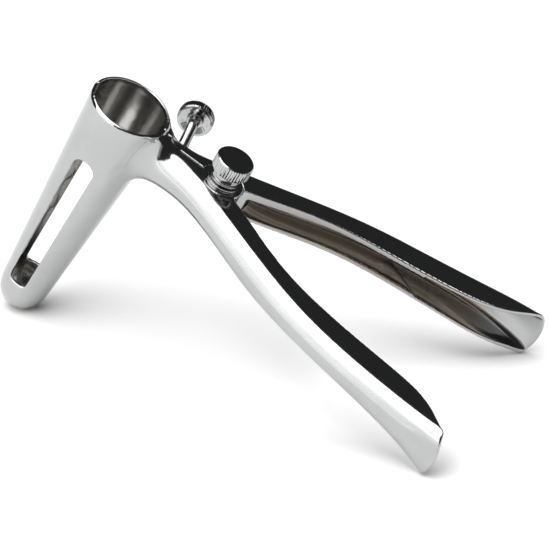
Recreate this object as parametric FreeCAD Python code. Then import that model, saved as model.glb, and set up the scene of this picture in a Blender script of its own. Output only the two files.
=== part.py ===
import FreeCAD, Part
import math
import os
from FreeCAD import Vector

# An anal speculum of two mirror-image forgings. Each forging is half of a fenestrated,
# tapered tube, with a lever that ends in a channel-shaped handle. The forgings turn on a
# pivot screw that lies parallel to the tube. Squeezing the handles opens the two valves.
# A second thumb screw runs through the far lever, bears on the near one and holds them open.
# Lengths are millimetres. The tool frame has its origin at the middle of the mouth rim, +Z
# out of the mouth along the tube, +X towards the handles and the near lever at -Y.

# Mouth, tube and nose
MOUTH_RADIUS = 15.5
RIM_ROLL = 1.15
WALL = 1.5
TUBE_END_RADIUS = 9.0
TUBE_LENGTH = 90.0
NOSE_LENGTH = 9.5
NOSE_FULLNESS = 0.62
SPLIT_GAP = 0.3

# Window in each valve
WINDOW_TOP = 22.0
WINDOW_BOTTOM = 86.0
WINDOW_TOP_WIDTH = 8.8
WINDOW_BOTTOM_WIDTH = 7.0
WINDOW_BOTTOM_ROUND = 2.0
WINDOW_SIDE_SHIFT = -1.7

# Pivot: place of the axis, knuckles and the screw that runs through them
PIVOT_X = 41.5
KNUCKLE_RADIUS = 8.0
KNUCKLE_TOP = -3.8
KNUCKLE_BOTTOM = -17.6
TONGUE_TOP = -7.6
TONGUE_BOTTOM = -13.6
KNUCKLE_GAP = 0.15
KNUCKLE_SIDE_GAP = 0.3
NECK_RADIUS = 3.2
JOURNAL_RADIUS = 2.4
RUNNING_FIT = 0.05
COLLAR_RADIUS = 6.2
COLLAR_THICKNESS = 0.9
SHOULDER_RADIUS = 5.4
SHOULDER_START = 0.4
SHOULDER_LENGTH = 4.3
SHOULDER_GROOVE_DEPTH = 0.5
SHOULDER_GROOVE_WIDTH = 0.6
PIVOT_KNOB_RADIUS = 7.1
PIVOT_KNOB_THICKNESS = 5.3

# Spread screw: it crosses the far lever, a little off the square
SPREAD_ARM = 18.3
SPREAD_HEIGHT = -7.0
SPREAD_LEAN = 10.0
SPREAD_ROD_RADIUS = 2.0
SPREAD_TIP_GAP = 0.3
SPREAD_ROD_LENGTH = 27.0
SPREAD_KNOB_RADIUS = 6.7
SPREAD_KNOB_THICKNESS = 3.8
KNOB_SEAT_DEPTH = 2.6
KNOB_CHAMFER = 0.45
DISH_RADIUS = 5.4
DISH_DEPTH = 1.0
DISH_COLLAR_RADIUS = 2.9
KNURL_TEETH = 44
KNURL_DEPTH = 0.32

# Lever and handle. Each row: distance from the pivot along X, outer face, middle height,
# half height, radius of the long corners
LEVER_ROWS = (
    (-33.5, 7.0, -13.0, 10.3, 6.4),
    (-20.0, 7.9, -11.8, 8.2, 6.0),
    (-6.0, 11.75, -10.7, 6.7, 5.0),
    (10.0, 18.5, -11.0, 6.25, 4.2),
    (28.0, 27.2, -11.9, 6.5, 4.2),
    (50.0, 36.2, -12.05, 6.1, 4.2),
    (72.0, 41.8, -12.2, 6.15, 4.2),
    (92.0, 45.7, -12.3, 6.9, 4.3),
    (108.0, 48.4, -13.0, 8.5, 4.6),
    (122.0, 50.3, -14.9, 10.9, 5.0),
)
# Inner lip of the handle: distance from the pivot along X, distance from the middle plane
LIP_ROWS = (
    (8.5, 4.6),
    (18.5, 9.9),
    (28.5, 15.4),
    (43.5, 21.5),
    (58.5, 25.1),
    (73.5, 27.7),
    (88.5, 30.4),
    (100.5, 33.8),
    (108.5, 38.6),
    (113.5, 43.2),
    (117.5, 46.4),
    (122.0, 48.6),
)
BACK_CROWN = 0.7
HANDLE_WALL = 1.6
END_REACH = 119.9
END_BOW = 3.2
END_CORNER = 4.5
STEP_AT = 76.0
STEP_DEPTH = 0.55
STEP_SLANT = 61.0
CAVITY_START = 8.0
CAVITY_FULL = 62.0
CAVITY_TOP_WALL = 3.6
ARM_BLEND = 8.0

# Margin that only makes cutting shapes longer than what they cut
OVER = 6.0

# Fineness with which the standing height and the overall box are measured
BOX_DEFLECTION = 0.01
TILT_STEP = 0.0001


def xy(x, y):
    return Vector(x, y, 0)


def polyline_face(points):
    return Part.Face(Part.makePolygon(points + [points[0]]))


def revolved(edges):
    face = Part.Face(Part.Wire(edges))
    return face.revolve(Vector(0, 0, 0), Vector(0, 0, 1), 360)


def line(a, b):
    return Part.LineSegment(a, b).toShape()


def nose_curve(radius, start_z, length, slope):
    # Quarter of a blunt nose in the XZ plane, leaving the cone along its own slope
    lean = NOSE_FULLNESS * length
    curve = Part.BezierCurve()
    curve.setPoles([
        Vector(radius, 0, start_z),
        Vector(radius - slope * lean, 0, start_z - lean),
        Vector(NOSE_FULLNESS * radius, 0, start_z - length),
        Vector(0, 0, start_z - length),
    ])
    return curve.toShape()


def tube_solid(inset, top):
    # Solid of revolution inside the tube's outer face, inset by a wall
    slope = (MOUTH_RADIUS - TUBE_END_RADIUS) / TUBE_LENGTH
    end_radius = TUBE_END_RADIUS - inset
    top_radius = end_radius + slope * (TUBE_LENGTH + top)
    start_z = -TUBE_LENGTH
    nose_tip = start_z - NOSE_LENGTH + inset
    edges = [
        line(Vector(0, 0, top), Vector(top_radius, 0, top)),
        line(Vector(top_radius, 0, top), Vector(end_radius, 0, start_z)),
        nose_curve(end_radius, start_z, NOSE_LENGTH - inset, slope),
        line(Vector(0, 0, nose_tip), Vector(0, 0, top)),
    ]
    return revolved(edges)


def rim():
    return Part.makeTorus(MOUTH_RADIUS - RIM_ROLL, RIM_ROLL, Vector(0, 0, -RIM_ROLL))


def window():
    # Round-topped slot that narrows towards the nose, cut right through along Y
    top_half = WINDOW_TOP_WIDTH / 2
    low_half = WINDOW_BOTTOM_WIDTH / 2
    round_z = -WINDOW_TOP - top_half
    corner = WINDOW_BOTTOM_ROUND
    lean = (top_half - low_half) / (WINDOW_BOTTOM - WINDOW_TOP - top_half)
    rise_half = low_half + lean * corner

    def at(x, z):
        return Vector(WINDOW_SIDE_SHIFT + x, 0, z)

    bow = corner * (1 - math.sqrt(0.5))
    edges = [
        Part.Arc(at(-top_half, round_z), at(0, -WINDOW_TOP), at(top_half, round_z)).toShape(),
        line(at(top_half, round_z), at(rise_half, -WINDOW_BOTTOM + corner)),
        Part.Arc(at(rise_half, -WINDOW_BOTTOM + corner),
                 at(rise_half - bow, -WINDOW_BOTTOM + bow),
                 at(rise_half - corner, -WINDOW_BOTTOM)).toShape(),
        line(at(rise_half - corner, -WINDOW_BOTTOM), at(corner - rise_half, -WINDOW_BOTTOM)),
        Part.Arc(at(corner - rise_half, -WINDOW_BOTTOM),
                 at(bow - rise_half, -WINDOW_BOTTOM + bow),
                 at(-rise_half, -WINDOW_BOTTOM + corner)).toShape(),
        line(at(-rise_half, -WINDOW_BOTTOM + corner), at(-top_half, round_z)),
    ]
    return Part.Face(Part.Wire(edges)).extrude(Vector(0, MOUTH_RADIUS + OVER, 0))


def channel_section(x, inner_y, back_y, z_mid, half_height, corner, crown):
    # Closed section across X with four round corners, flat on the inner side, crowned on the back
    top = z_mid + half_height
    low = z_mid - half_height
    bow = corner * (1 - math.sqrt(0.5))

    def at(y, z):
        return Vector(x, y, z)

    return Part.Wire([
        Part.Arc(at(inner_y + corner, low), at(inner_y + bow, low + bow), at(inner_y, low + corner)).toShape(),
        line(at(inner_y, low + corner), at(inner_y, top - corner)),
        Part.Arc(at(inner_y, top - corner), at(inner_y + bow, top - bow), at(inner_y + corner, top)).toShape(),
        line(at(inner_y + corner, top), at(back_y - corner, top)),
        Part.Arc(at(back_y - corner, top), at(back_y - bow, top - bow), at(back_y, top - corner)).toShape(),
        Part.Arc(at(back_y, top - corner), at(back_y + crown, z_mid), at(back_y, low + corner)).toShape(),
        Part.Arc(at(back_y, low + corner), at(back_y - bow, low + bow), at(back_y - corner, low)).toShape(),
        line(at(back_y - corner, low), at(inner_y + corner, low)),
    ])


def lip_points():
    return [xy(PIVOT_X + dx, y) for dx, y in LIP_ROWS]


def lip_curve():
    curve = Part.BSplineCurve()
    curve.interpolate(lip_points())
    return curve


def lip_at(x):
    # Distance of the inner lip from the middle plane, where the lever reaches X
    rows = [(PIVOT_X, 0.0)] + [(PIVOT_X + dx, y) for dx, y in LIP_ROWS]
    if x <= rows[0][0]:
        return 0.0
    for (x0, y0), (x1, y1) in zip(rows, rows[1:]):
        if x <= x1:
            return y0 + (y1 - y0) * (x - x0) / (x1 - x0)
    return rows[-1][1]


def lever_blank():
    wires = []
    for dx, back_y, z_mid, half_height, corner in LEVER_ROWS:
        x = PIVOT_X + dx
        inner_y = lip_at(x) - max(OVER, back_y)
        wires.append(channel_section(x, inner_y, back_y, z_mid, half_height, corner, BACK_CROWN))
    return Part.makeLoft(wires, True, False)


def hollow_of(wall):
    # Hollow of the channel for a given wall. The upper wall is thick behind the pivot and thins out
    wires = []
    for dx, back_y, z_mid, half_height, corner in LEVER_ROWS:
        if dx < CAVITY_START:
            continue
        grown = min(1.0, (dx - CAVITY_START) / (CAVITY_FULL - CAVITY_START))
        top_wall = CAVITY_TOP_WALL + (wall - CAVITY_TOP_WALL) * grown
        x = PIVOT_X + dx
        inner_y = lip_at(x) - 2 * OVER
        half = half_height - (top_wall + wall) / 2
        middle = z_mid - (top_wall - wall) / 2
        wires.append(channel_section(x, inner_y, back_y - wall, middle, half, corner - wall, BACK_CROWN))
    return Part.makeLoft(wires, True, False)


def past_step():
    # Where the channel's walls are thinner: beyond a slanted line that meets the lip at STEP_AT
    size = 2 * END_REACH
    box = Part.makeBox(size, 2 * size, size, Vector(0, -size, -END_REACH))
    box.rotate(Vector(0, 0, 0), Vector(0, 0, 1), STEP_SLANT)
    box.translate(Vector(PIVOT_X + STEP_AT, lip_at(PIVOT_X + STEP_AT), 0))
    return box


def handle_end():
    # What lies past the bowed end of the handle, seen from the side, with its low corner rounded
    end_x = PIVOT_X + END_REACH - END_BOW
    middle = LEVER_ROWS[-1][2]
    half = LEVER_ROWS[-1][3]
    bow_radius = (half ** 2 + END_BOW ** 2) / (2 * END_BOW)
    bow_x = end_x + END_BOW - bow_radius
    corner_reach = math.sqrt((bow_radius - END_CORNER) ** 2 - (half - END_CORNER) ** 2)
    turn = math.atan2(END_CORNER - half, corner_reach)

    def on_corner(angle):
        return Vector(bow_x + corner_reach + END_CORNER * math.cos(angle), 0,
                      middle - half + END_CORNER * (1 + math.sin(angle)))

    top = Vector(end_x, 0, middle + half)
    low = on_corner(-math.pi / 2)
    far = Vector(4 * OVER, 0, 0)
    above = top + Vector(0, 0, OVER)
    below = low - Vector(0, 0, OVER)
    edges = [
        Part.Arc(top, Vector(end_x + END_BOW, 0, middle), on_corner(turn)).toShape(),
        Part.Arc(on_corner(turn), on_corner((turn - math.pi / 2) / 2), low).toShape(),
        line(low, below),
        line(below, below + far),
        line(below + far, above + far),
        line(above + far, above),
        line(above, top),
    ]
    return Part.Face(Part.Wire(edges)).extrude(Vector(0, 12 * OVER, 0))


def inner_side():
    # Everything on the other lever's side of the split plane and of the inner lips
    curve = lip_curve()
    start = curve.StartPoint
    end = curve.EndPoint
    half_gap = SPLIT_GAP / 2
    far_x = end.x + OVER
    low_y = -4 * MOUTH_RADIUS
    edges = [
        line(xy(-4 * MOUTH_RADIUS, half_gap), xy(PIVOT_X, half_gap)),
        line(xy(PIVOT_X, half_gap), start),
        curve.toShape(),
        line(end, xy(far_x, end.y + OVER)),
        line(xy(far_x, end.y + OVER), xy(far_x, low_y)),
        line(xy(far_x, low_y), xy(-4 * MOUTH_RADIUS, low_y)),
        line(xy(-4 * MOUTH_RADIUS, low_y), xy(-4 * MOUTH_RADIUS, half_gap)),
    ]
    face = Part.Face(Part.Wire(edges))
    face.translate(Vector(0, 0, -TUBE_LENGTH - 4 * NOSE_LENGTH))
    return face.extrude(Vector(0, 0, TUBE_LENGTH + 8 * NOSE_LENGTH))


def blended_shell():
    # Outer form of tube and lever in one, with the lever's root blended into the tube
    tube = tube_solid(0.0, OVER + ARM_BLEND)
    lever = lever_blank()
    body = tube.fuse(lever)
    seam = []
    for edge in body.Edges:
        middle = edge.valueAt((edge.FirstParameter + edge.LastParameter) / 2)
        reach = math.hypot(middle.x, middle.y)
        slope = (MOUTH_RADIUS - TUBE_END_RADIUS) / TUBE_LENGTH
        tube_radius = MOUTH_RADIUS + slope * middle.z
        on_tube = abs(reach - tube_radius) < 0.02
        on_lever = middle.x > 0 and lever.distToShape(Part.Vertex(middle))[0] < 0.02
        if on_tube and on_lever and -2 * MOUTH_RADIUS < middle.z < 0:
            seam.append(edge)
    return body.makeFillet(ARM_BLEND, seam)


def forging_half():
    body = blended_shell()
    above = Part.makeBox(12 * MOUTH_RADIUS, 8 * MOUTH_RADIUS, 4 * MOUTH_RADIUS,
                         Vector(-2 * MOUTH_RADIUS, -4 * MOUTH_RADIUS, -RIM_ROLL))
    body = body.cut(above).fuse(rim())
    body = body.cut(tube_solid(WALL, OVER))
    body = body.cut(window())
    body = body.cut(hollow_of(HANDLE_WALL + STEP_DEPTH))
    body = body.cut(hollow_of(HANDLE_WALL).common(past_step()))
    body = body.cut(handle_end())
    return body.cut(inner_side()).removeSplitter()


def disc(radius, low, top):
    return Part.makeCylinder(radius, top - low, Vector(PIVOT_X, 0, low))


def far_lever():
    # The far forging holds the middle knuckle, between the two ears of the near one
    body = forging_half()
    clear = KNUCKLE_RADIUS + KNUCKLE_SIDE_GAP
    body = body.cut(disc(clear, TONGUE_TOP, KNUCKLE_TOP + OVER))
    body = body.cut(disc(clear, KNUCKLE_BOTTOM - OVER, TONGUE_BOTTOM))
    body = body.fuse(disc(KNUCKLE_RADIUS, TONGUE_BOTTOM, TONGUE_TOP))
    body = body.cut(disc(JOURNAL_RADIUS + RUNNING_FIT, TONGUE_BOTTOM - OVER, TONGUE_TOP + OVER))
    return body.cut(spread_hole())


def near_lever():
    body = forging_half().mirror(Vector(0, 0, 0), Vector(0, 1, 0))
    clear = KNUCKLE_RADIUS + KNUCKLE_SIDE_GAP
    top_ear_low = TONGUE_TOP + KNUCKLE_GAP
    low_ear_top = TONGUE_BOTTOM - KNUCKLE_GAP
    body = body.cut(disc(clear, low_ear_top, top_ear_low))
    body = body.fuse(disc(KNUCKLE_RADIUS, top_ear_low, KNUCKLE_TOP))
    body = body.fuse(disc(KNUCKLE_RADIUS, KNUCKLE_BOTTOM, low_ear_top))
    body = body.cut(disc(NECK_RADIUS + RUNNING_FIT, top_ear_low - OVER, KNUCKLE_TOP + OVER))
    return body.cut(disc(JOURNAL_RADIUS + RUNNING_FIT, KNUCKLE_BOTTOM - OVER, low_ear_top + OVER))


def spread_direction():
    # Unit vector along the spread screw, from its knob towards the near lever
    lean = math.radians(SPREAD_LEAN)
    return Vector(math.sin(lean), -math.cos(lean), 0)


def spread_tip():
    # Where the screw's end stands: just short of the near lever's inner face
    return Vector(PIVOT_X - SPREAD_ARM, SPREAD_TIP_GAP - SPLIT_GAP / 2, SPREAD_HEIGHT)


def spread_hole():
    direction = spread_direction()
    start = spread_tip() + direction * OVER
    return Part.makeCylinder(SPREAD_ROD_RADIUS + RUNNING_FIT, SPREAD_ROD_LENGTH, start, direction * -1)


def knurled_disc(radius, thickness):
    # Straight-knurled disc on +Z from the origin, chamfered at both faces and dished underneath
    root = radius - KNURL_DEPTH
    points = []
    for tooth in range(KNURL_TEETH):
        for part, reach in ((0.0, root), (0.3, radius), (0.6, radius)):
            angle = 2 * math.pi * (tooth + part) / KNURL_TEETH
            points.append(Vector(reach * math.cos(angle), reach * math.sin(angle), 0))
    teeth = polyline_face(points).extrude(Vector(0, 0, thickness))
    edge = KNOB_CHAMFER
    outline = [
        (DISH_COLLAR_RADIUS, 0),
        (DISH_COLLAR_RADIUS, DISH_DEPTH),
        (DISH_RADIUS, 0),
        (radius - edge, 0),
        (radius, edge),
        (radius, thickness - edge),
        (radius - edge, thickness),
        (0, thickness),
        (0, 0),
    ]
    corners = [Vector(r, 0, z) for r, z in outline]
    turned = revolved([line(a, b) for a, b in zip(corners, corners[1:] + corners[:1])])
    return teeth.common(turned)


def pivot_knob_base():
    return KNUCKLE_TOP + COLLAR_THICKNESS + SHOULDER_START + SHOULDER_LENGTH


def pivot_screw():
    base = pivot_knob_base()
    low_end = TONGUE_TOP + KNUCKLE_GAP
    shoulder_low = KNUCKLE_TOP + COLLAR_THICKNESS + SHOULDER_START
    neck = disc(NECK_RADIUS, low_end, shoulder_low)
    shoulder = disc(SHOULDER_RADIUS, shoulder_low, base)
    groove_low = shoulder_low + SHOULDER_GROOVE_WIDTH
    groove = disc(SHOULDER_RADIUS + OVER, groove_low, groove_low + SHOULDER_GROOVE_WIDTH)
    groove = groove.cut(disc(SHOULDER_RADIUS - SHOULDER_GROOVE_DEPTH, groove_low, base))
    seat = disc(JOURNAL_RADIUS, base, base + KNOB_SEAT_DEPTH)
    journal = disc(JOURNAL_RADIUS, KNUCKLE_BOTTOM, low_end)
    return neck.fuse(shoulder.cut(groove)).fuse(seat).fuse(journal)


def pivot_knob():
    base = pivot_knob_base()
    knob = knurled_disc(PIVOT_KNOB_RADIUS, PIVOT_KNOB_THICKNESS)
    knob.translate(Vector(PIVOT_X, 0, base))
    return knob.cut(disc(JOURNAL_RADIUS + RUNNING_FIT, base - OVER, base + KNOB_SEAT_DEPTH))


def pivot_collar():
    ring = disc(COLLAR_RADIUS, KNUCKLE_TOP, KNUCKLE_TOP + COLLAR_THICKNESS)
    return ring.cut(disc(NECK_RADIUS + RUNNING_FIT, KNUCKLE_TOP - OVER, KNUCKLE_TOP + OVER))


def along_spread(shape):
    # Put a shape that is turned about +Z on the spread screw's axis, its origin at the tip
    turn = FreeCAD.Rotation(Vector(0, 0, 1), spread_direction() * -1)
    shape.Placement = FreeCAD.Placement(spread_tip(), turn).multiply(shape.Placement)
    return shape


def spread_screw():
    radius = SPREAD_ROD_RADIUS
    rod = Part.makeCylinder(radius, SPREAD_ROD_LENGTH - radius, Vector(0, 0, radius))
    tip = Part.makeSphere(radius, Vector(0, 0, radius))
    return along_spread(rod.fuse(tip).removeSplitter())


def spread_knob():
    knob = knurled_disc(SPREAD_KNOB_RADIUS, SPREAD_KNOB_THICKNESS)
    bore = Part.makeCylinder(SPREAD_ROD_RADIUS + RUNNING_FIT, KNOB_SEAT_DEPTH)
    knob = knob.cut(bore)
    knob.translate(Vector(0, 0, SPREAD_ROD_LENGTH - KNOB_SEAT_DEPTH))
    return along_spread(knob)


def resting_tilt(lever):
    # Turn about Y that stands the tool on its nose and its handle ends
    places = lever.tessellate(BOX_DEFLECTION)[0]
    nose = [p for p in places if p.z < -TUBE_LENGTH]
    handle = [p for p in places if p.x > PIVOT_X]
    low = 0.0
    high = 60.0
    while high - low > TILT_STEP:
        middle = (low + high) / 2
        across = math.sin(math.radians(middle))
        down = math.cos(math.radians(middle))
        nose_height = min(p.z * down - p.x * across for p in nose)
        handle_height = min(p.z * down - p.x * across for p in handle)
        if handle_height > nose_height:
            low = middle
        else:
            high = middle
    return low


NODES = {
    "far_lever": far_lever,
    "near_lever": near_lever,
    "pivot_screw": pivot_screw,
    "pivot_knob": pivot_knob,
    "pivot_collar": pivot_collar,
    "spread_screw": spread_screw,
    "spread_knob": spread_knob,
}


def main():
    os.makedirs("parts", exist_ok=True)
    shapes = {name: build() for name, build in NODES.items()}
    tilt = resting_tilt(shapes["far_lever"])
    for shape in shapes.values():
        shape.rotate(Vector(0, 0, 0), Vector(0, 1, 0), tilt)
    whole = Part.makeCompound(list(shapes.values()))
    whole.tessellate(BOX_DEFLECTION)
    box = whole.optimalBoundingBox(True)
    shift = Vector(-(box.XMin + box.XMax) / 2, 0, -box.ZMin)
    for name, shape in shapes.items():
        shape.translate(shift)
        shape.exportStep("parts/%s.step" % name)
        print(name, "solids", len(shape.Solids), "valid", shape.isValid(), "volume", round(shape.Volume, 1))
    print("tilt", round(tilt, 4), "shift", shift, "size", box.XLength, box.YLength, box.ZLength)


main()
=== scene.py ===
import math

import bpy
from mathutils import Matrix, Vector
from mathutils.kdtree import KDTree


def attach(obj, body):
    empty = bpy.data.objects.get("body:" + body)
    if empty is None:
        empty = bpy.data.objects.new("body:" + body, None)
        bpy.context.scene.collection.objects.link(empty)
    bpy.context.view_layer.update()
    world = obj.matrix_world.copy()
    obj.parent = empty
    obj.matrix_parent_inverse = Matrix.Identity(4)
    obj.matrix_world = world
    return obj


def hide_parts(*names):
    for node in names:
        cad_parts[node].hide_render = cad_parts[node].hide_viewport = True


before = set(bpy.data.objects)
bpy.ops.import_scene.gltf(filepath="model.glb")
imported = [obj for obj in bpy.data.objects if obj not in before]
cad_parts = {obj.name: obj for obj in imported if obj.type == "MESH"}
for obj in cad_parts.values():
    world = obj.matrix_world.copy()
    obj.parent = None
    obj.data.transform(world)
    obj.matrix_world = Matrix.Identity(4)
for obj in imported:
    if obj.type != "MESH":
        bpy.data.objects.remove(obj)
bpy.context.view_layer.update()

MM = 0.001

# Where the tool's own axes lie in the row frame: the tube leans back by the resting tilt
TILT = math.radians(25.6839)
SHIFT = Vector((-46.4129, 0.0, 90.7169)) * MM
TOOL = Matrix.Translation(SHIFT) @ Matrix.Rotation(TILT, 4, "Y")
TO_TOOL = TOOL.inverted()

# Sizes of the forgings, in millimetres in the tool's own axes
MOUTH_RADIUS = 15.5
TUBE_END_RADIUS = 9.0
TUBE_LENGTH = 90.0
TUBE_SLOPE = (MOUTH_RADIUS - TUBE_END_RADIUS) / TUBE_LENGTH
WALL = 1.5
BORE_REACH = 0.8 * WALL
PIVOT_X = 41.5
HANDLE_WALL = 1.6

# The levers' outer form. Each row: distance from the pivot, back face, middle height, half height
LEVER_ROWS = (
    (10.0, 18.5, -11.0, 6.25),
    (28.0, 27.2, -11.9, 6.5),
    (50.0, 36.2, -12.05, 6.1),
    (72.0, 41.8, -12.2, 6.15),
    (92.0, 45.7, -12.3, 6.9),
    (108.0, 48.4, -13.0, 8.5),
    (122.0, 50.3, -14.9, 10.9),
)

# Spread screw and its thread
SPREAD_ROD_RADIUS = 2.0
SPREAD_ROD_LENGTH = 27.0
SPREAD_LEAN = math.radians(10)
SPREAD_TIP = (23.2, 0.15, -7.0)
THREAD_PITCH = 0.7
THREAD_DEPTH = 0.16
THREAD_END = 20.6
THREAD_CORE = SPREAD_ROD_RADIUS - THREAD_DEPTH
THREAD_ROOT_COVER = 0.1
THREAD_FLANK = 0.48
THREAD_STEPS = 36
ROD_SIDES = 48
ROUND_TIP_PARTS = 8

# CAD meshes are loose triangles, whose corners are joined within this distance
JOIN_DISTANCE = 0.004

# The forgings' skin: its step, what counts as a sharp edge, and the most triangles that it keeps
SKIN_STEP = 0.39
SHARP_ANGLE = math.radians(34)
EDGE_POINT_SPACING = 0.35
SKIN_TRIANGLES = 192000
CONE_START = -2.4
CONE_CATCH = 0.12
CONE_FADE = 0.06

# Zones that the polishing wheel blends. Each pair runs from untouched to fully blended
ARM_ROOT = {"start": (8, 14), "end": (32, 46), "low": (-34, -25)}
NECK = {"start": (3, 8), "end": (18, 24), "low": (-34, -25)}
SHOULDER = {"start": (11, 15), "end": (25, 34), "low": (-24, -12)}
HANDLE_START = (46, 50)
OPEN_FACE_FROM_EDGE = (0.35, 2.4)
ARM_ROOT_FROM_EDGE = (0.5, 4.5)
EDGE_LINE_WIDTH = (0.4, 1.2)
CLEAR_OF_RIM = (0.6, 4.0)
CLEAR_OF_PARTING = (0.8, 3.5)
CLEAR_OF_ROD = (2.6, 5.5)
ROD_HOLE_SIDE = 6

# Where the bore and the handle's channel begin and end, for their duller finish; the channel's darker brown,
# heavier on its lower side, is painted shade
BORE_TOP = (0.3, 1.2)
CHANNEL_START = (9, 13)
CHANNEL_END = (92, 108)
CHANNEL_WALL = (0.5 * HANDLE_WALL, 0.9 * HANDLE_WALL)
CHANNEL_LOW_SIDE = (-0.1, 0.45)
CHANNEL_UPPER_SHADE = 0.3

# Knobs and screws: how far sharp edges are eased
KNOB_EASE = 0.07
SCREW_EASE = 0.12
COLLAR_EASE = 0.15
EASED_ANGLE = math.radians(25)
TURNED_ANGLE = math.radians(32)

# Studio: places are given as azimuth from +X and elevation, in degrees, and sizes in metres
FLOOR_SIZE = 8.0
LIGHT_DISTANCE = 1.5
LIGHT_WIDTH = 1.7
FRONT_LEFT = -122
FRONT_RIGHT = -50
WARM = (1.0, 0.93, 0.82)
CAMERA_PLACE = (1.300776, -3.221378, 1.979327)
CAMERA_TURN = (1.060120, -0.034412, 0.400282)
CAMERA_LENS = 737.8

scene = bpy.context.scene


# Helpers

def deselect_all():
    for obj in bpy.context.selected_objects:
        obj.select_set(False)


def make_active(obj):
    deselect_all()
    obj.select_set(True)
    bpy.context.view_layer.objects.active = obj


def apply_modifiers(obj):
    make_active(obj)
    for modifier in list(obj.modifiers):
        bpy.ops.object.modifier_apply(modifier=modifier.name)


def copy_of_node(node, name):
    """A free copy of a CAD node's mesh with its loose triangles joined."""
    obj = bpy.data.objects.new(name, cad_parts[node].data.copy())
    obj.data.name = name
    scene.collection.objects.link(obj)
    obj.data.materials.clear()
    make_active(obj)
    if obj.data.has_custom_normals:
        bpy.ops.mesh.customdata_custom_splitnormals_clear()
    bpy.ops.object.mode_set(mode="EDIT")
    bpy.ops.mesh.select_all(action="SELECT")
    bpy.ops.mesh.remove_doubles(threshold=JOIN_DISTANCE * MM)
    bpy.ops.object.mode_set(mode="OBJECT")
    return obj


def in_tool(place):
    """A place of the row frame in the tool's own axes, in millimetres."""
    return (TO_TOOL @ place) * (1 / MM)


def between(low, high, value):
    """Soft step from 0 at low to 1 at high."""
    share = min(1.0, max(0.0, (value - low) / (high - low)))
    return share * share * (3 - 2 * share)


# Forgings

def sharp_points(mesh):
    """Points along the mesh's sharp edges, for telling how far a place is from an edge."""
    faces_of = {}
    for polygon in mesh.polygons:
        for key in polygon.edge_keys:
            faces_of.setdefault(key, []).append(polygon.index)
    points = []
    for (a, b), faces in faces_of.items():
        if len(faces) != 2:
            continue
        first = mesh.polygons[faces[0]].normal
        second = mesh.polygons[faces[1]].normal
        if first.dot(second) < math.cos(SHARP_ANGLE):
            start = mesh.vertices[a].co
            end = mesh.vertices[b].co
            steps = max(1, int((end - start).length / (EDGE_POINT_SPACING * MM)))
            points += [start.lerp(end, i / steps) for i in range(steps + 1)]
    return points


def measured(mesh, edges):
    """Each vertex's place in the tool's axes and its distance from the nearest sharp edge."""
    tree = KDTree(len(edges))
    for index, point in enumerate(edges):
        tree.insert(point, index)
    tree.balance()
    return [(in_tool(vertex.co), tree.find(vertex.co)[2] / MM) for vertex in mesh.vertices]


def in_zone(zone, place, share=1.0):
    along = between(*zone["start"], place.x) * (1 - between(*zone["end"], place.x))
    return share * along * between(*zone["low"], place.z)


def inside_tube(place):
    return math.hypot(place.x, place.y) < MOUTH_RADIUS - BORE_REACH


def clear_of_crisp_edges(place):
    """0 at what stays crisp, which is the rim, the parting face and the spread screw's hole."""
    if inside_tube(place):
        return 0.0
    from_rim = math.hypot(math.hypot(place.x, place.y) - MOUTH_RADIUS, place.z)
    clear = between(*CLEAR_OF_RIM, from_rim)
    if abs(place.y) < ROD_HOLE_SIDE:
        from_rod = math.hypot(place.x - SPREAD_TIP[0], place.z - SPREAD_TIP[2])
        clear *= between(*CLEAR_OF_ROD, from_rod)
    return clear * between(*CLEAR_OF_PARTING, abs(place.y))


def neck(place, from_edge):
    """Where the arm grows out of the tube."""
    return in_zone(NECK, place, clear_of_crisp_edges(place))


def shoulder(place, from_edge):
    """The upper edge between the tube and the hinge."""
    return in_zone(SHOULDER, place, clear_of_crisp_edges(place))


def edge_line(place, from_edge):
    """The sharp edges of the handle."""
    return between(*HANDLE_START, place.x) * (1 - between(*EDGE_LINE_WIDTH, from_edge))


def arm_root(place, from_edge):
    """The arm's faces up to the hinge."""
    if inside_tube(place):
        return 0.0
    return in_zone(ARM_ROOT, place) * between(*ARM_ROOT_FROM_EDGE, from_edge)


def open_face(place, from_edge):
    """Every face, away from its edges."""
    return between(*OPEN_FACE_FROM_EDGE, from_edge)


# The zones in the order of work, each with its number of smoothing passes
BLENDS = ((neck, 220), (shoulder, 150), (edge_line, 5), (arm_root, 260), (open_face, 60))


def weigh(obj, name, weights):
    group = obj.vertex_groups.new(name=name)
    for index, weight in enumerate(weights):
        if weight > 0:
            group.add([index], weight, "REPLACE")


def smooth_pass(obj, name, iterations, factor=0.5):
    """Smooths the whole skin, or only the vertex group of that name where there is one."""
    smoothing = obj.modifiers.new(name, "SMOOTH")
    smoothing.factor = factor
    smoothing.iterations = iterations
    if name in obj.vertex_groups:
        smoothing.vertex_group = name
    apply_modifiers(obj)


def true_to_cone(obj):
    """Turns the tube's flat facets back into its two smooth cones."""
    for vertex in obj.data.vertices:
        place = in_tool(vertex.co)
        if not -TUBE_LENGTH < place.z < CONE_START:
            continue
        reach = math.hypot(place.x, place.y)
        for radius in (MOUTH_RADIUS + TUBE_SLOPE * place.z, MOUTH_RADIUS - WALL + TUBE_SLOPE * place.z):
            off = abs(reach - radius)
            if off < CONE_CATCH:
                share = min(1.0, (CONE_CATCH - off) / CONE_FADE)
                ratio = 1 + share * (radius / reach - 1)
                place.x *= ratio
                place.y *= ratio
                vertex.co = TOOL @ (place * MM)


def lever_section(along):
    """Back face, middle height and half height of the lever, at a distance from the pivot."""
    for first, second in zip(LEVER_ROWS, LEVER_ROWS[1:]):
        if along <= second[0]:
            share = max(0.0, (along - first[0]) / (second[0] - first[0]))
            return [a + share * (b - a) for a, b in zip(first[1:], second[1:])]
    return LEVER_ROWS[-1][1:]


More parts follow.
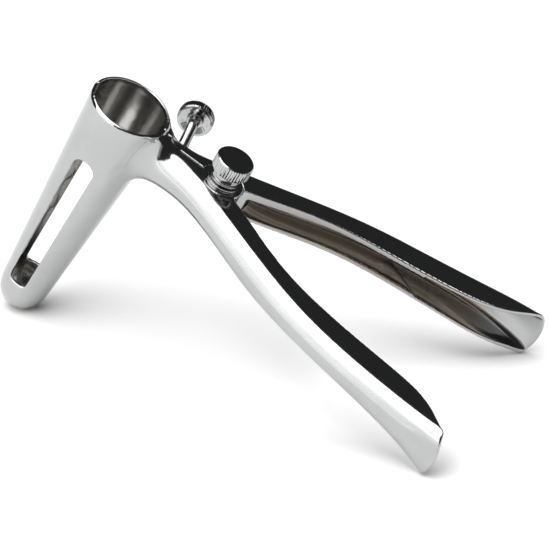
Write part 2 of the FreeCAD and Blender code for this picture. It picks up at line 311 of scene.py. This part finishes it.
def bore_mark(place):
    if place.x >= MOUTH_RADIUS:
        return 0.0
    outer = MOUTH_RADIUS + TUBE_SLOPE * max(place.z, -TUBE_LENGTH)
    deep = between(0.3 * WALL, BORE_REACH, outer - math.hypot(place.x, place.y))
    return deep * between(*BORE_TOP, -place.z)


# Painted shade in the handle's channel: 0 outside, up to 1 deep in it, lighter on its upper part and fullest
# on its lower side
def channel_shade_mark(place):
    along = place.x - PIVOT_X
    if along < CHANNEL_START[0]:
        return 0.0
    back, middle, half = lever_section(along)
    from_back = between(*CHANNEL_WALL, back - abs(place.y))
    from_edge = between(*CHANNEL_WALL, half - abs(place.z - middle))
    lowness = between(*CHANNEL_LOW_SIDE, (middle - place.z) / half)
    low_side = CHANNEL_UPPER_SHADE + (1 - CHANNEL_UPPER_SHADE) * lowness
    reach_in = between(*CHANNEL_START, along) * (1 - between(*CHANNEL_END, along))
    return from_back * from_edge * low_side * reach_in


def mark_inside(mesh):
    """Writes how far each place lies in the tube's bore and in the handle's channel, from 0 to 1; the
    channel's mark is painted shade, fullest on its lower side.
    """
    places = [in_tool(vertex.co) for vertex in mesh.vertices]
    for name, mark in (("bore", bore_mark), ("channel", channel_shade_mark)):
        marks = mesh.attributes.new(name, "FLOAT", "POINT")
        marks.data.foreach_set("value", [mark(place) for place in places])


def polished_forging(node, name):
    """The forging as a polisher leaves it: even skin, long soft curves and slightly broken edges."""
    obj = copy_of_node(node, name)
    edges = sharp_points(obj.data)
    skin = obj.modifiers.new("skin", "REMESH")
    skin.mode = "VOXEL"
    skin.voxel_size = SKIN_STEP * MM
    skin.use_smooth_shade = True
    smooth_pass(obj, "even_skin", 3)

    places = measured(obj.data, edges)
    for zone, iterations in BLENDS:
        weigh(obj, zone.__name__, [zone(*place) for place in places])
    for zone, iterations in BLENDS:
        smooth_pass(obj, zone.__name__, iterations)
    true_to_cone(obj)
    smooth_pass(obj, "last_pass", 1, 0.3)

    obj.vertex_groups.clear()
    flat_faces = obj.modifiers.new("fewer_on_flats", "DECIMATE")
    flat_faces.ratio = min(1.0, SKIN_TRIANGLES / 2 / len(obj.data.polygons))
    apply_modifiers(obj)
    mark_inside(obj.data)
    return obj


# Screws and knobs

def eased_part(node, name, ease):
    """A turned or knurled part with its sharp edges eased, so that they catch the light."""
    obj = copy_of_node(node, name)
    bpy.ops.object.mode_set(mode="EDIT")
    bpy.ops.mesh.select_all(action="SELECT")
    bpy.ops.mesh.dissolve_limited(angle_limit=math.radians(1))
    bpy.ops.object.mode_set(mode="OBJECT")
    bevel = obj.modifiers.new("eased_edges", "BEVEL")
    bevel.width = ease * MM
    bevel.segments = 2
    bevel.limit_method = "ANGLE"
    bevel.angle_limit = EASED_ANGLE
    bevel.harden_normals = False
    apply_modifiers(obj)
    bpy.ops.object.shade_smooth_by_angle(angle=TURNED_ANGLE)
    return obj


def round_tip_steps():
    """Rises and widenings that close the rod's end in a half round."""
    steps = []
    for part in range(ROUND_TIP_PARTS):
        here = math.radians(90 * part / ROUND_TIP_PARTS)
        after = math.radians(min(89.0, 90 * (part + 1) / ROUND_TIP_PARTS))
        rise = -(math.sin(after) - math.sin(here)) * THREAD_CORE
        steps.append((rise, math.cos(after) / math.cos(here)))
    return steps


def shank_steps():
    """A short cone out to the full radius, then the plain shank."""
    plain = SPREAD_ROD_LENGTH - THREAD_END - THREAD_DEPTH
    return [(THREAD_DEPTH, SPREAD_ROD_RADIUS / THREAD_CORE), (plain, 1)]


def drawn_rod():
    """The rod's core, with its round tip and its shank drawn out of the two end faces."""
    deselect_all()
    depth = THREAD_END - SPREAD_ROD_RADIUS
    middle = (THREAD_END + SPREAD_ROD_RADIUS) / 2
    bpy.ops.mesh.primitive_cylinder_add(vertices=ROD_SIDES, radius=THREAD_CORE * MM, depth=depth * MM,
                                        location=(0, 0, middle * MM))
    rod = bpy.context.object
    bpy.ops.object.transform_apply(location=True, rotation=True, scale=True)
    bpy.ops.object.mode_set(mode="EDIT")
    bpy.ops.mesh.select_mode(type="FACE")
    for end, steps in ((min, round_tip_steps()), (max, shank_steps())):
        bpy.ops.object.mode_set(mode="OBJECT")
        wanted = end(polygon.center.z for polygon in rod.data.polygons)
        for polygon in rod.data.polygons:
            polygon.select = abs(polygon.center.z - wanted) < 1e-7
        bpy.ops.object.mode_set(mode="EDIT")
        for rise, widen in steps:
            bpy.ops.mesh.extrude_region_move(TRANSFORM_OT_translate={"value": (0, 0, rise * MM)})
            bpy.ops.transform.resize(value=(widen, widen, 1), center_override=(0, 0, 0))
    bpy.ops.object.mode_set(mode="OBJECT")
    return rod


def thread_ridge():
    """A three-sided ridge wound round the core, closed at both ends."""
    deselect_all()
    bpy.ops.mesh.primitive_circle_add(vertices=3, radius=THREAD_PITCH * MM, fill_type="NOTHING",
                                      location=(0, 0, SPREAD_ROD_RADIUS * MM))
    ridge = bpy.context.object
    bpy.ops.object.transform_apply(location=True, rotation=True, scale=True)
    root = THREAD_CORE - THREAD_ROOT_COVER
    corners = ((SPREAD_ROD_RADIUS, 0), (root, THREAD_FLANK), (root, -THREAD_FLANK))
    for vertex, (reach, rise) in zip(ridge.data.vertices, corners):
        vertex.co = Vector((reach, 0, SPREAD_ROD_RADIUS + rise * THREAD_PITCH)) * MM
    turns = ridge.modifiers.new("turns", "SCREW")
    turns.angle = math.radians(360)
    turns.screw_offset = THREAD_PITCH * MM
    turns.iterations = int((THREAD_END - SPREAD_ROD_RADIUS) / THREAD_PITCH)
    turns.steps = THREAD_STEPS
    turns.render_steps = THREAD_STEPS
    turns.use_merge_vertices = False
    apply_modifiers(ridge)
    bpy.ops.object.mode_set(mode="EDIT")
    bpy.ops.mesh.select_all(action="DESELECT")
    bpy.ops.mesh.select_mode(type="VERT")
    bpy.ops.mesh.select_non_manifold()
    bpy.ops.mesh.fill()
    bpy.ops.mesh.select_all(action="SELECT")
    bpy.ops.mesh.normals_make_consistent(inside=False)
    bpy.ops.object.mode_set(mode="OBJECT")
    return ridge


def threaded_rod(name):
    """Round-ended rod, turned down where the thread is cut, with a plain shank under the knob."""
    rod = drawn_rod()
    thread_ridge()
    rod.select_set(True)
    bpy.context.view_layer.objects.active = rod
    bpy.ops.object.join()
    rod.name = name
    rod.data.name = name
    along = Vector((-math.sin(SPREAD_LEAN), math.cos(SPREAD_LEAN), 0))
    turn = along.to_track_quat("Z", "Y").to_matrix().to_4x4()
    rod.data.transform(TOOL @ Matrix.Translation(Vector(SPREAD_TIP) * MM) @ turn)
    make_active(rod)
    bpy.ops.object.shade_smooth_by_angle(angle=EASED_ANGLE)
    return rod


# Finishes

def new_group(name, inputs, outputs):
    group = bpy.data.node_groups.new(name, "ShaderNodeTree")
    for label, value in inputs.items():
        socket = group.interface.new_socket(name=label, in_out="INPUT", socket_type="NodeSocketFloat")
        socket.default_value = value
    for label, kind in outputs.items():
        group.interface.new_socket(name=label, in_out="OUTPUT", socket_type=kind)
    return group


def add(tree, kind, **values):
    node = tree.nodes.new(kind)
    for key, value in values.items():
        if key in node.inputs:
            node.inputs[key].default_value = value
        else:
            setattr(node, key, value)
    return node


def hand_polish():
    """Faint waves left by the polishing wheel, hairline scratches, a thin haze and a slow change of tone."""
    group = new_group(
        "hand_polish",
        {"Wave size": 90.0, "Wave height": 0.1, "Scratch": 0.05, "Roughness": 0.08, "Haze": 0.05},
        {"Normal": "NodeSocketVector", "Roughness": "NodeSocketFloat", "Tone": "NodeSocketFloat"},
    )
    link = group.links.new
    enter = group.nodes.new("NodeGroupInput")
    leave = group.nodes.new("NodeGroupOutput")
    place = add(group, "ShaderNodeTexCoord")

    waves = add(group, "ShaderNodeTexNoise", Detail=1.0, Roughness=0.4)
    link(place.outputs["Object"], waves.inputs["Vector"])
    link(enter.outputs["Wave size"], waves.inputs["Scale"])
    wave_bump = add(group, "ShaderNodeBump", Distance=0.0004)
    link(waves.outputs["Fac"], wave_bump.inputs["Height"])
    link(enter.outputs["Wave height"], wave_bump.inputs["Strength"])

    stretch = add(group, "ShaderNodeMapping", Rotation=(0, -TILT, 0), Scale=(260, 3200, 3200))
    link(place.outputs["Object"], stretch.inputs["Vector"])
    hairs = add(group, "ShaderNodeTexNoise", Scale=1.0, Detail=3.0, Roughness=0.7)
    link(stretch.outputs["Vector"], hairs.inputs["Vector"])
    hair_bump = add(group, "ShaderNodeBump", Distance=0.00002)
    link(hairs.outputs["Fac"], hair_bump.inputs["Height"])
    link(enter.outputs["Scratch"], hair_bump.inputs["Strength"])
    link(wave_bump.outputs["Normal"], hair_bump.inputs["Normal"])
    link(hair_bump.outputs["Normal"], leave.inputs["Normal"])

    clouds = add(group, "ShaderNodeTexNoise", Scale=160.0, Detail=5.0, Roughness=0.65)
    link(place.outputs["Object"], clouds.inputs["Vector"])
    haze = add(group, "ShaderNodeMath", operation="MULTIPLY")
    link(clouds.outputs["Fac"], haze.inputs[0])
    link(enter.outputs["Haze"], haze.inputs[1])
    roughness = add(group, "ShaderNodeMath", operation="ADD")
    link(haze.outputs[0], roughness.inputs[0])
    link(enter.outputs["Roughness"], roughness.inputs[1])
    link(roughness.outputs[0], leave.inputs["Roughness"])

    tone = add(group, "ShaderNodeTexNoise", Scale=70.0, Detail=4.0, Roughness=0.6)
    link(place.outputs["Object"], tone.inputs["Vector"])
    link(tone.outputs["Fac"], leave.inputs["Tone"])
    return group


def chrome(name, group, tint, values):
    """Bright plate in two near tones, under the hand polish."""
    material = bpy.data.materials.new(name)
    material.use_nodes = True
    tree = material.node_tree
    shader = tree.nodes["Principled BSDF"]
    shader.inputs["Metallic"].default_value = 1.0
    finish = add(tree, "ShaderNodeGroup", node_tree=group)
    for label, value in values.items():
        finish.inputs[label].default_value = value
    tones = tree.nodes.new("ShaderNodeValToRGB")
    darker = [value * 0.94 for value in tint]
    for stop, position, colour in zip(tones.color_ramp.elements, (0.35, 0.65), (darker, tint)):
        stop.position = position
        stop.color = (*colour, 1)
    tree.links.new(finish.outputs["Tone"], tones.inputs["Fac"])
    tree.links.new(tones.outputs["Color"], shader.inputs["Base Color"])
    tree.links.new(finish.outputs["Normal"], shader.inputs["Normal"])
    tree.links.new(finish.outputs["Roughness"], shader.inputs["Roughness"])
    return material


def duller_finish_and_painted_shade(material, mask, tint, roughness):
    """Changes the tint and dulls the finish by a mask: in the bore a duller finish where the polishing wheel
    doesn't reach; in the handle's channel the darker tint is painted shade.
    """
    tree = material.node_tree
    shader = tree.nodes["Principled BSDF"]
    where = add(tree, "ShaderNodeAttribute", attribute_name=mask)
    for label, kind, value in (("Base Color", "RGBA", (*tint, 1)), ("Roughness", "FLOAT", roughness)):
        source = shader.inputs[label].links[0].from_socket
        mix = add(tree, "ShaderNodeMix", data_type=kind)
        first, second = [socket for socket in mix.inputs if socket.name in "AB" and socket.enabled]
        result = next(socket for socket in mix.outputs if socket.enabled)
        tree.links.new(where.outputs["Fac"], mix.inputs["Factor"])
        tree.links.new(source, first)
        second.default_value = value
        tree.links.new(result, shader.inputs[label])


def matt_floor():
    material = bpy.data.materials.new("pale_floor")
    material.use_nodes = True
    shader = material.node_tree.nodes["Principled BSDF"]
    shader.inputs["Base Color"].default_value = (0.93, 0.93, 0.93, 1)
    shader.inputs["Roughness"].default_value = 0.9
    return material


# Assembly

def dress(obj, slot, body, node):
    """Gives a piece the finish of its slot, and puts it on its body in the CAD node's stead."""
    obj.data.materials.clear()
    obj.data.materials.append(finishes[slot])
    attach(obj, body)
    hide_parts(node)


polish = hand_polish()
finishes = {
    "forging_chrome": chrome("forging_chrome", polish, (0.43, 0.435, 0.435), {
        "Wave size": 90.0, "Wave height": 0.07, "Scratch": 0.02, "Roughness": 0.09, "Haze": 0.06}),
    "screw_chrome": chrome("screw_chrome", polish, (0.40, 0.40, 0.40), {
        "Wave size": 200.0, "Wave height": 0.0, "Scratch": 0.2, "Roughness": 0.10, "Haze": 0.06}),
    "knob_chrome": chrome("knob_chrome", polish, (0.43, 0.435, 0.435), {
        "Wave size": 200.0, "Wave height": 0.02, "Scratch": 0.2, "Roughness": 0.06, "Haze": 0.06}),
}
duller_finish_and_painted_shade(finishes["forging_chrome"], "bore", (0.46, 0.455, 0.44), 0.20)
# The channel's darker brown is painted shade, fullest on its lower side; its roughness is a duller finish
duller_finish_and_painted_shade(finishes["forging_chrome"], "channel", (0.32, 0.285, 0.24), 0.18)

dress(polished_forging("far_lever", "far_forging"), "forging_chrome", "far_lever", "far_lever")
dress(polished_forging("near_lever", "near_forging"), "forging_chrome", "near_lever", "near_lever")
dress(eased_part("pivot_knob", "pivot_thumb_head", KNOB_EASE), "knob_chrome", "pivot_screw", "pivot_knob")
dress(eased_part("spread_knob", "spread_thumb_head", KNOB_EASE), "knob_chrome", "spread_screw", "spread_knob")
shoulder_screw = eased_part("pivot_screw", "pivot_shoulder_screw", SCREW_EASE)
dress(shoulder_screw, "screw_chrome", "pivot_screw", "pivot_screw")
dress(eased_part("pivot_collar", "pivot_washer", COLLAR_EASE), "screw_chrome", "near_lever", "pivot_collar")
dress(threaded_rod("spread_rod"), "screw_chrome", "spread_screw", "spread_screw")


# Floor, light and camera

def aimed(azimuth, elevation):
    """A place seen from the object at an azimuth and elevation, at the lights' distance."""
    flat = LIGHT_DISTANCE * math.cos(math.radians(elevation))
    height = LIGHT_DISTANCE * math.sin(math.radians(elevation))
    return Vector((flat * math.cos(math.radians(azimuth)), flat * math.sin(math.radians(azimuth)), height))


def panel(name, azimuth, elevation, height, radiance, tint=(1, 1, 1)):
    """A soft light that faces the object and looks equally bright however large it is."""
    lamp = bpy.data.lights.new(name, "AREA")
    lamp.shape = "RECTANGLE"
    lamp.size = LIGHT_WIDTH
    lamp.size_y = height
    lamp.energy = radiance * math.pi * LIGHT_WIDTH * height
    lamp.color = tint
    obj = bpy.data.objects.new(name, lamp)
    obj.location = aimed(azimuth, elevation)
    obj.rotation_euler = (-obj.location).to_track_quat("-Z", "Y").to_euler()
    scene.collection.objects.link(obj)


deselect_all()
bpy.ops.mesh.primitive_plane_add(size=FLOOR_SIZE, location=(0, 0, 0))
floor = bpy.context.object
floor.name = "studio_floor"
floor.data.materials.append(matt_floor())

# The front left light fades towards the floor in five bands
panel("front_left_panel", FRONT_LEFT, 48, 1.4, 2.5)
for band in range(5):
    panel("front_left_sweep_%d" % band, FRONT_LEFT, 0.5 + 5.2 * band, 0.14, 1.5 + 0.2 * band)
panel("front_right_glow", FRONT_RIGHT, 6, 0.32, 0.4, WARM)

overhead = bpy.data.lights.new("overhead_light", "SUN")
overhead.energy = 2.75
overhead.angle = math.radians(64)
scene.collection.objects.link(bpy.data.objects.new("overhead_light", overhead))

scene.world = bpy.data.worlds.new("dim_room")
scene.world.use_nodes = True
room = scene.world.node_tree.nodes["Background"]
room.inputs["Color"].default_value = (0.95, 1.0, 0.97, 1)
room.inputs["Strength"].default_value = 0.035
scene.view_settings.view_transform = "Standard"

view = bpy.data.cameras.new("camera")
view.sensor_width = 36
view.lens = CAMERA_LENS
view.clip_start = 0.1
view.clip_end = 50
camera = bpy.data.objects.new("camera", view)
camera.location = CAMERA_PLACE
camera.rotation_euler = CAMERA_TURN
scene.collection.objects.link(camera)
scene.camera = camera
